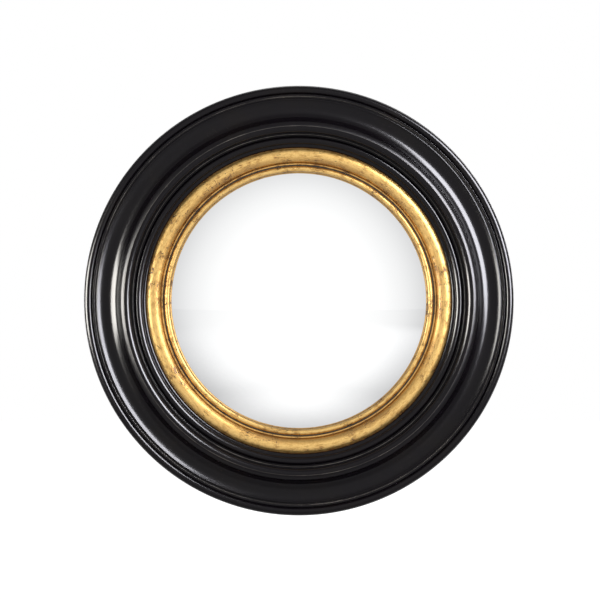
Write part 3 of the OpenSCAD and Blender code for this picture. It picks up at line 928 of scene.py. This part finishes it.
def screw_mesh(name, parts, hold):
    """A pan-head wood screw with crossed slots: its head's top is at 0 and its point is up"""
    foot = parts.head_h + hold
    rim = parts.head_r
    crown_r = (rim**2 + parts.head_crown**2) / (2 * parts.head_crown)
    crown = [(r, crown_r - math.sqrt(crown_r**2 - r**2)) for r in (rim * i / 8 for i in range(9))]
    section = [*crown, (rim, parts.head_h), (parts.screw_r, parts.head_h), (parts.screw_r, foot)]
    thread_end = foot + parts.thread_l - parts.point_l
    turns = int((thread_end - foot) / parts.thread_pitch)
    core = parts.thread_r * 0.72
    section.append((core, foot))
    for i in range(turns):
        low = foot + parts.thread_pitch * (i + 0.3)
        section += [(core, low), (parts.thread_r, low + 0.25 * MM), (core, low + 0.5 * MM)]
    section += [(core, thread_end), (0, foot + parts.thread_l)]
    section = eased(without_repeats(section), 0.12 * MM, steps=2)
    piece = turned(name, section, 48)
    piece.data.transform(Matrix.Rotation(-math.pi / 2, 4, "X"))
    cutter = slot_cutter(parts)
    cut = piece.modifiers.new("slots", "BOOLEAN")
    cut.operation = "DIFFERENCE"
    cut.solver = "EXACT"
    cut.use_self = True
    cut.object = cutter
    bpy.context.view_layer.update()
    mesh = bpy.data.meshes.new_from_object(piece.evaluated_get(bpy.context.evaluated_depsgraph_get()))
    bpy.data.objects.remove(piece)
    bpy.data.objects.remove(cutter)
    if not mesh.polygons:
        raise RuntimeError("the slots' cut left nothing of the screw")
    return mesh


def slot_cutter(parts):
    """Two crossed wedges, narrower at the bottom of the slots"""
    verts, faces = [], []
    top, reach = -parts.head_h, parts.head_r * 0.62
    for turn in (0, math.pi / 2):
        spin = Matrix.Rotation(turn, 3, "Z")
        base = len(verts)
        for height, width, extent in ((top, 1.4, 1.25), (parts.slot_depth, 0.75, 0.7)):
            half, far = parts.slot_w / 2 * width, reach * extent
            for x, y in ((-far, -half), (far, -half), (far, half), (-far, half)):
                verts.append(spin @ Vector((x, y, height)))
        quads = ((0, 1, 2, 3), (4, 5, 6, 7), (0, 1, 5, 4), (1, 2, 6, 5), (2, 3, 7, 6), (3, 0, 4, 7))
        faces += [tuple(base + i for i in quad) for quad in quads]
    return mesh_object("slot_cutter", verts, faces)


def screw_set(name, places, parts, hold, depth):
    """Copies of one screw, as one object"""
    pattern = screw_mesh(name + "_pattern", parts, hold)
    tool = bmesh.new()
    for x, z, turn in places:
        copy = pattern.copy()
        copy.transform(from_wall(x, z, depth - parts.head_h - hold) @ Matrix.Rotation(turn, 4, "Z"))
        tool.from_mesh(copy)
        bpy.data.meshes.remove(copy)
    mesh = bpy.data.meshes.new(name)
    bmesh.ops.recalc_face_normals(tool, faces=tool.faces)
    tool.to_mesh(mesh)
    tool.free()
    mesh.shade_smooth()
    mesh.set_sharp_from_angle(angle=math.radians(35))
    made = bpy.data.objects.new(name, mesh)
    bpy.context.scene.collection.objects.link(made)
    return made


class WALL_MIRROR_OT_screws(Build, bpy.types.Operator):
    """Drives the screws of the turn buttons and of the hanger plate"""

    bl_idname = "wall_mirror.screws"
    bl_label = "Screws"

    def execute(self, context):
        sizes, parts = self.settings().frame, self.settings().hardware
        metal = screw_finish(self.settings().finishes)
        twists = (0.3, 1.1, 0.7, 0.2, 1.35, 0.9)
        places = [(x, z, twist) for (_, _, x, z), twist in zip(button_places(), twists)]
        hold = parts.button_t + 2 * parts.button_play
        screws = screw_set("turn_button_screws_driven", places, parts, hold, sizes.recess_depth)
        own(screws, ROOT, "screw_steel", metal, "turn_button_screws")
        ears = [(side * (parts.hanger_w - parts.hanger_h) / 2, ear_height(parts), 0.5 + side * 0.35)
                for side in (-1, 1)]
        screws = screw_set("hanger_screws_driven", ears, parts, parts.hanger_t, sizes.recess_depth)
        own(screws, ROOT, "screw_steel", metal, "hanger_screws")
        return {"FINISHED"}


def hanger_pivot():
    """X, height from the wall and Z of the line that the ring swings about"""
    joint = next(joint for joint in frame["joints"] if joint["child"] == "hanger_ring")
    x, y, z = joint["pos_m"]
    return x, -y, z


def ear_height(parts):
    """How high the screws of the hanger plate lie"""
    return hanger_pivot()[2] - parts.hanger_h / 2


class WALL_MIRROR_OT_hanger(Build, bpy.types.Operator):
    """Makes the hanger plate with its rolled barrel, and bends the ring"""

    bl_idname = "wall_mirror.hanger"
    bl_label = "Hanger"

    def execute(self, context):
        parts = self.settings().hardware
        metal = zinc_finish(self.settings().finishes)
        own(self.plate(parts), ROOT, "zinc_steel", metal, "hanger_plate")
        own(self.ring(parts), "hanger_ring", "zinc_steel", metal, "hanger_ring")
        return {"FINISHED"}

    def plate(self, parts):
        """Stamps the plate and rolls its barrel"""
        x, pivot_h, pivot_z = hanger_pivot()
        depth = self.settings().frame.recess_depth
        half_h, ear = parts.hanger_h / 2, (parts.hanger_w - parts.hanger_h) / 2
        inner = half_h - parts.edge
        outside = arc((ear, 0), inner, -math.pi / 2, math.pi / 2) + arc((-ear, 0), inner, math.pi / 2, math.pi * 1.5)
        hole_r = parts.screw_r + parts.pivot_gap + parts.edge
        loops = [outside, circle((ear, 0), hole_r), circle((-ear, 0), hole_r)]
        place = from_wall(x, pivot_z - half_h, depth - parts.hanger_t / 2)
        plate = stamped("hanger_plate_stamped", loops, parts.hanger_t, parts.edge, place)
        self.add_barrel(plate, parts, pivot_h, pivot_z)
        return plate

    @staticmethod
    def add_barrel(plate, parts, pivot_h, pivot_z):
        """Rolls the plate's upper edge round the wire, and leaves a narrow seam"""
        bore = parts.wire_r + parts.pivot_gap
        outer = bore + parts.hanger_t
        edge = parts.edge * 0.6
        start, end = math.pi / 2, -math.pi * 1.5 + parts.barrel_seam * 2
        section = arc((0, 0), outer - edge, start, end) + arc((0, 0), bore + edge, end, start)
        section += [(-outer, bore + edge), (-outer, outer - edge)]
        along_x = Matrix(((0, 0, 1, 0), (0, -1, 0, 0), (1, 0, 0, 0), (0, 0, 0, 1)))
        place = Matrix.Translation((0, -pivot_h, pivot_z)) @ along_x
        barrel = stamped("barrel", [without_repeats(section)], parts.barrel_l, edge, place)
        tool = bmesh.new()
        tool.from_mesh(plate.data)
        tool.from_mesh(barrel.data)
        tool.to_mesh(plate.data)
        tool.free()
        bpy.data.objects.remove(barrel)

    @staticmethod
    def ring(parts):
        """Bends the wire into a D, with its straight side in the barrel"""
        x, pivot_h, pivot_z = hanger_pivot()
        bow, leg, bend = parts.bow_r, parts.ring_leg, parts.bend_r
        path = arc((bow - bend, -bend), bend, math.pi / 2, 0) + arc((0, -max(leg, bend)), bow, 0, -math.pi)
        path += arc((-bow + bend, -bend), bend, math.pi, math.pi / 2)
        path += [(side * bow * share, 0) for side, share in ((-1, 0.5), (-1, 0.02), (1, 0.02), (1, 0.5))]
        curve = bpy.data.curves.new("ring_curve", "CURVE")
        curve.dimensions = "3D"
        curve.bevel_depth = parts.wire_r
        curve.bevel_resolution = 6
        spline = curve.splines.new("POLY")
        points = without_repeats(path)
        spline.points.add(len(points) - 1)
        spline.points.foreach_set("co", [value for px, py in points for value in (px, py, 0, 1)])
        spline.use_cyclic_u = True
        return shapes_to_mesh("hanger_ring_bent", curve, from_wall(x, pivot_z, pivot_h))


def studio_gloss(toward, upward):
    """How bright the studio is in a glossy surface, from the direction: white in front, dimmer elsewhere"""
    front = (-toward).rising(0.5, 0.84)
    ahead = (-toward).rising(0.84, 0.96)
    back = toward.rising(0.1, 0.8)
    return 0.42 + front * 0.58 + ahead * 0.06 + back * 0.3 + upward.rising(0.2, 0.9) * 0.1


def stage_floor(stage):
    """A plain pale floor, which shows white and keeps the shadow"""
    finish = Finish("paper_floor")
    camera, glossy, through = finish.rays()
    x, y, z = finish.place()
    away = (x * x + y * y).sqrt()
    shaded = away.falling(0.24, 0.42)
    fibres = finish.noise(finish.vector(x, y, z), scale=60, detail=3)
    tone = finish.mix(fibres, (0.5, 0.5, 0.505), (0.54, 0.54, 0.54))
    paper = finish.node("ShaderNodeBsdfDiffuse", inputs={"Color": tone})
    distance = (x * x + y * y + z * z).sqrt()
    mirrored = (studio_gloss(y / distance, z / distance) - 0.3 + shaded * 0.27) * glossy.most(through)
    level = mirrored.most(camera * (0.68 + away.rising(0.25, 1.1) * 0.12))
    glow = finish.node("ShaderNodeEmission", inputs={"Color": (1, 1, 1), "Strength": level})
    both = finish.node("ShaderNodeAddShader", inputs={0: paper, 1: glow})
    finish.node("ShaderNodeOutputMaterial", inputs={"Surface": both})
    half = stage.floor_w / 2
    below = -node_radius("frame_ring") - stage.floor_drop
    corners = [(-half, -half, below), (half, -half, below), (half, half, below), (-half, half, below)]
    floor = mesh_object("floor", corners, [(0, 1, 2, 3)])
    floor.data.materials.append(finish.data)


def stage_world():
    """White to the camera; glossy surfaces see it white in front and dimmer at the sides and behind."""
    finish = Finish("studio", world=True)
    camera, glossy, through = finish.rays()
    point = finish.node("ShaderNodeTexCoord", output="Generated")
    _, toward, upward = [finish.node("ShaderNodeSeparateXYZ", inputs={0: point}, output=i) for i in range(3)]
    gloss = studio_gloss(toward, upward)
    plain = 0.34 + upward.rising(-0.2, 0.9) * 0.2
    level = blend(glossy.most(through), plain, gloss)
    level = blend(camera, level, 1.0)
    background = finish.node("ShaderNodeBackground", inputs={"Color": (1, 1, 1), "Strength": level})
    finish.node("ShaderNodeOutputWorld", inputs={"Surface": background})
    bpy.context.scene.world = finish.data


def softbox(name, direction, distance, width, height, radiance, tint, only=None):
    """A rectangular lamp that faces the mirror, its direction given as degrees round the axis and off it.
    With only, it shows in the gloss of that one piece and nowhere else."""
    around, off = (math.radians(value) for value in direction)
    toward = Vector((math.sin(off) * math.cos(around), -math.cos(off), math.sin(off) * math.sin(around)))
    lamp = bpy.data.lights.new(name, "AREA")
    lamp.shape = "RECTANGLE"
    lamp.size, lamp.size_y = width, height
    lamp.energy = radiance * width * height * math.pi
    lamp.color = tint
    made = bpy.data.objects.new(name, lamp)
    out = toward.normalized()
    radial = Vector((math.cos(around), 0, math.sin(around)))
    side = (radial - out * radial.dot(out)).normalized()
    made.matrix_world = Matrix.Translation(toward * distance) @ Matrix(
        (side, out.cross(side), out)).transposed().to_4x4()
    if only:
        lit = bpy.data.collections.new(name + "_lights")
        lit.objects.link(only)
        made.light_linking.receiver_collection = lit
        made.visible_diffuse = False
    bpy.context.scene.collection.objects.link(made)
    return made


class WALL_MIRROR_OT_stage(Build, bpy.types.Operator):
    """Sets the floor, the lamps, the white background and the camera"""

    bl_idname = "wall_mirror.stage"
    bl_label = "Stage"

    def execute(self, context):
        stage = self.settings().stage
        stage_floor(stage)
        stage_world()
        far = stage.lamp_distance
        lacquered = bpy.data.objects["frame_ring_turned"]
        gilded = bpy.data.objects["gilt_ring_carved"]
        cool, warm, white = (0.93, 0.93, 1.0), (1.0, 0.975, 0.92), (1.0, 1.0, 1.0)
        softbox("box_right", (30, 58), far, 0.4, 1.5, 3.5, white)
        softbox("box_left", (188, 68), far, 0.45, 1.2, 3.0, white)
        softbox("box_behind", (70, 140), far, 1.4, 1.4, 1.4, white)
        softbox("strip_right", (24, 51), far, 1.0, 1.35, 68.0, cool, only=lacquered)
        softbox("strip_left", (190, 63), far, 1.2, 1.2, 72.0, warm, only=lacquered)
        softbox("gleam_right", (25, 47), far, 0.8, 1.4, 5.5, white, only=gilded)
        softbox("gleam_left", (190, 59), far, 1.0, 1.15, 5.5, white, only=gilded)
        sensor = 0.036
        lens = bpy.data.cameras.new("camera")
        lens.sensor_width = sensor * 1000
        plane = -self.settings().frame.edge_h
        reach = stage.camera_distance + plane
        lens.lens = sensor * 1000 * reach / stage.view_w
        lens.clip_end = 50
        camera = bpy.data.objects.new("camera", lens)
        camera.location = (stage.view_x, -stage.camera_distance, stage.view_z)
        camera.rotation_euler = (math.pi / 2, 0, 0)
        context.scene.collection.objects.link(camera)
        context.scene.camera = camera
        context.scene.view_settings.view_transform = "Standard"
        return {"FINISHED"}


class WallMirror(bpy.types.PropertyGroup):
    """Every size and colour that a user would change"""

    frame: PointerProperty(type=FrameSizes, name="Frame", description="The black frame's mouldings")
    slip: PointerProperty(type=SlipSizes, name="Slip and glass", description="The gilt slip and the glass")
    hardware: PointerProperty(type=HardwareSizes, name="Hardware", description="Buttons, screws and hanger")
    finishes: PointerProperty(type=Finishes, name="Finishes", description="Colours of the finishes")
    stage: PointerProperty(type=StageSizes, name="Stage", description="Floor, lamps and camera")


OPERATORS = (
    WALL_MIRROR_OT_frame_ring,
    WALL_MIRROR_OT_gilt_ring,
    WALL_MIRROR_OT_mirror_glass,
    WALL_MIRROR_OT_packing,
    WALL_MIRROR_OT_backing_board,
    WALL_MIRROR_OT_turn_buttons,
    WALL_MIRROR_OT_screws,
    WALL_MIRROR_OT_hanger,
    WALL_MIRROR_OT_stage,
)


class WALL_MIRROR_PT_panel(bpy.types.Panel):
    """Lists the sizes, the colours and the steps that build the mirror"""

    bl_label = "Wall mirror"
    bl_space_type = "VIEW_3D"
    bl_region_type = "UI"
    bl_category = "Wall mirror"

    def draw(self, context):
        settings = context.scene.wall_mirror
        for part in ("frame", "slip", "hardware", "finishes", "stage"):
            group = getattr(settings, part)
            box = self.layout.box()
            box.label(text=settings.bl_rna.properties[part].name)
            for name in group.__annotations__:
                box.prop(group, name)
        for operator in OPERATORS:
            self.layout.operator(operator.bl_idname)


CLASSES = (
    FrameSizes, SlipSizes, HardwareSizes, Finishes, StageSizes, WallMirror, *OPERATORS, WALL_MIRROR_PT_panel
)


def register():
    for item in CLASSES:
        bpy.utils.register_class(item)
    bpy.types.Scene.wall_mirror = PointerProperty(type=WallMirror)


def unregister():
    del bpy.types.Scene.wall_mirror
    for item in reversed(CLASSES):
        bpy.utils.unregister_class(item)


def main():
    register()
    for operator in OPERATORS:
        group, step = operator.bl_idname.split(".")
        getattr(getattr(bpy.ops, group), step)()


if __name__ == "__main__":
    main()
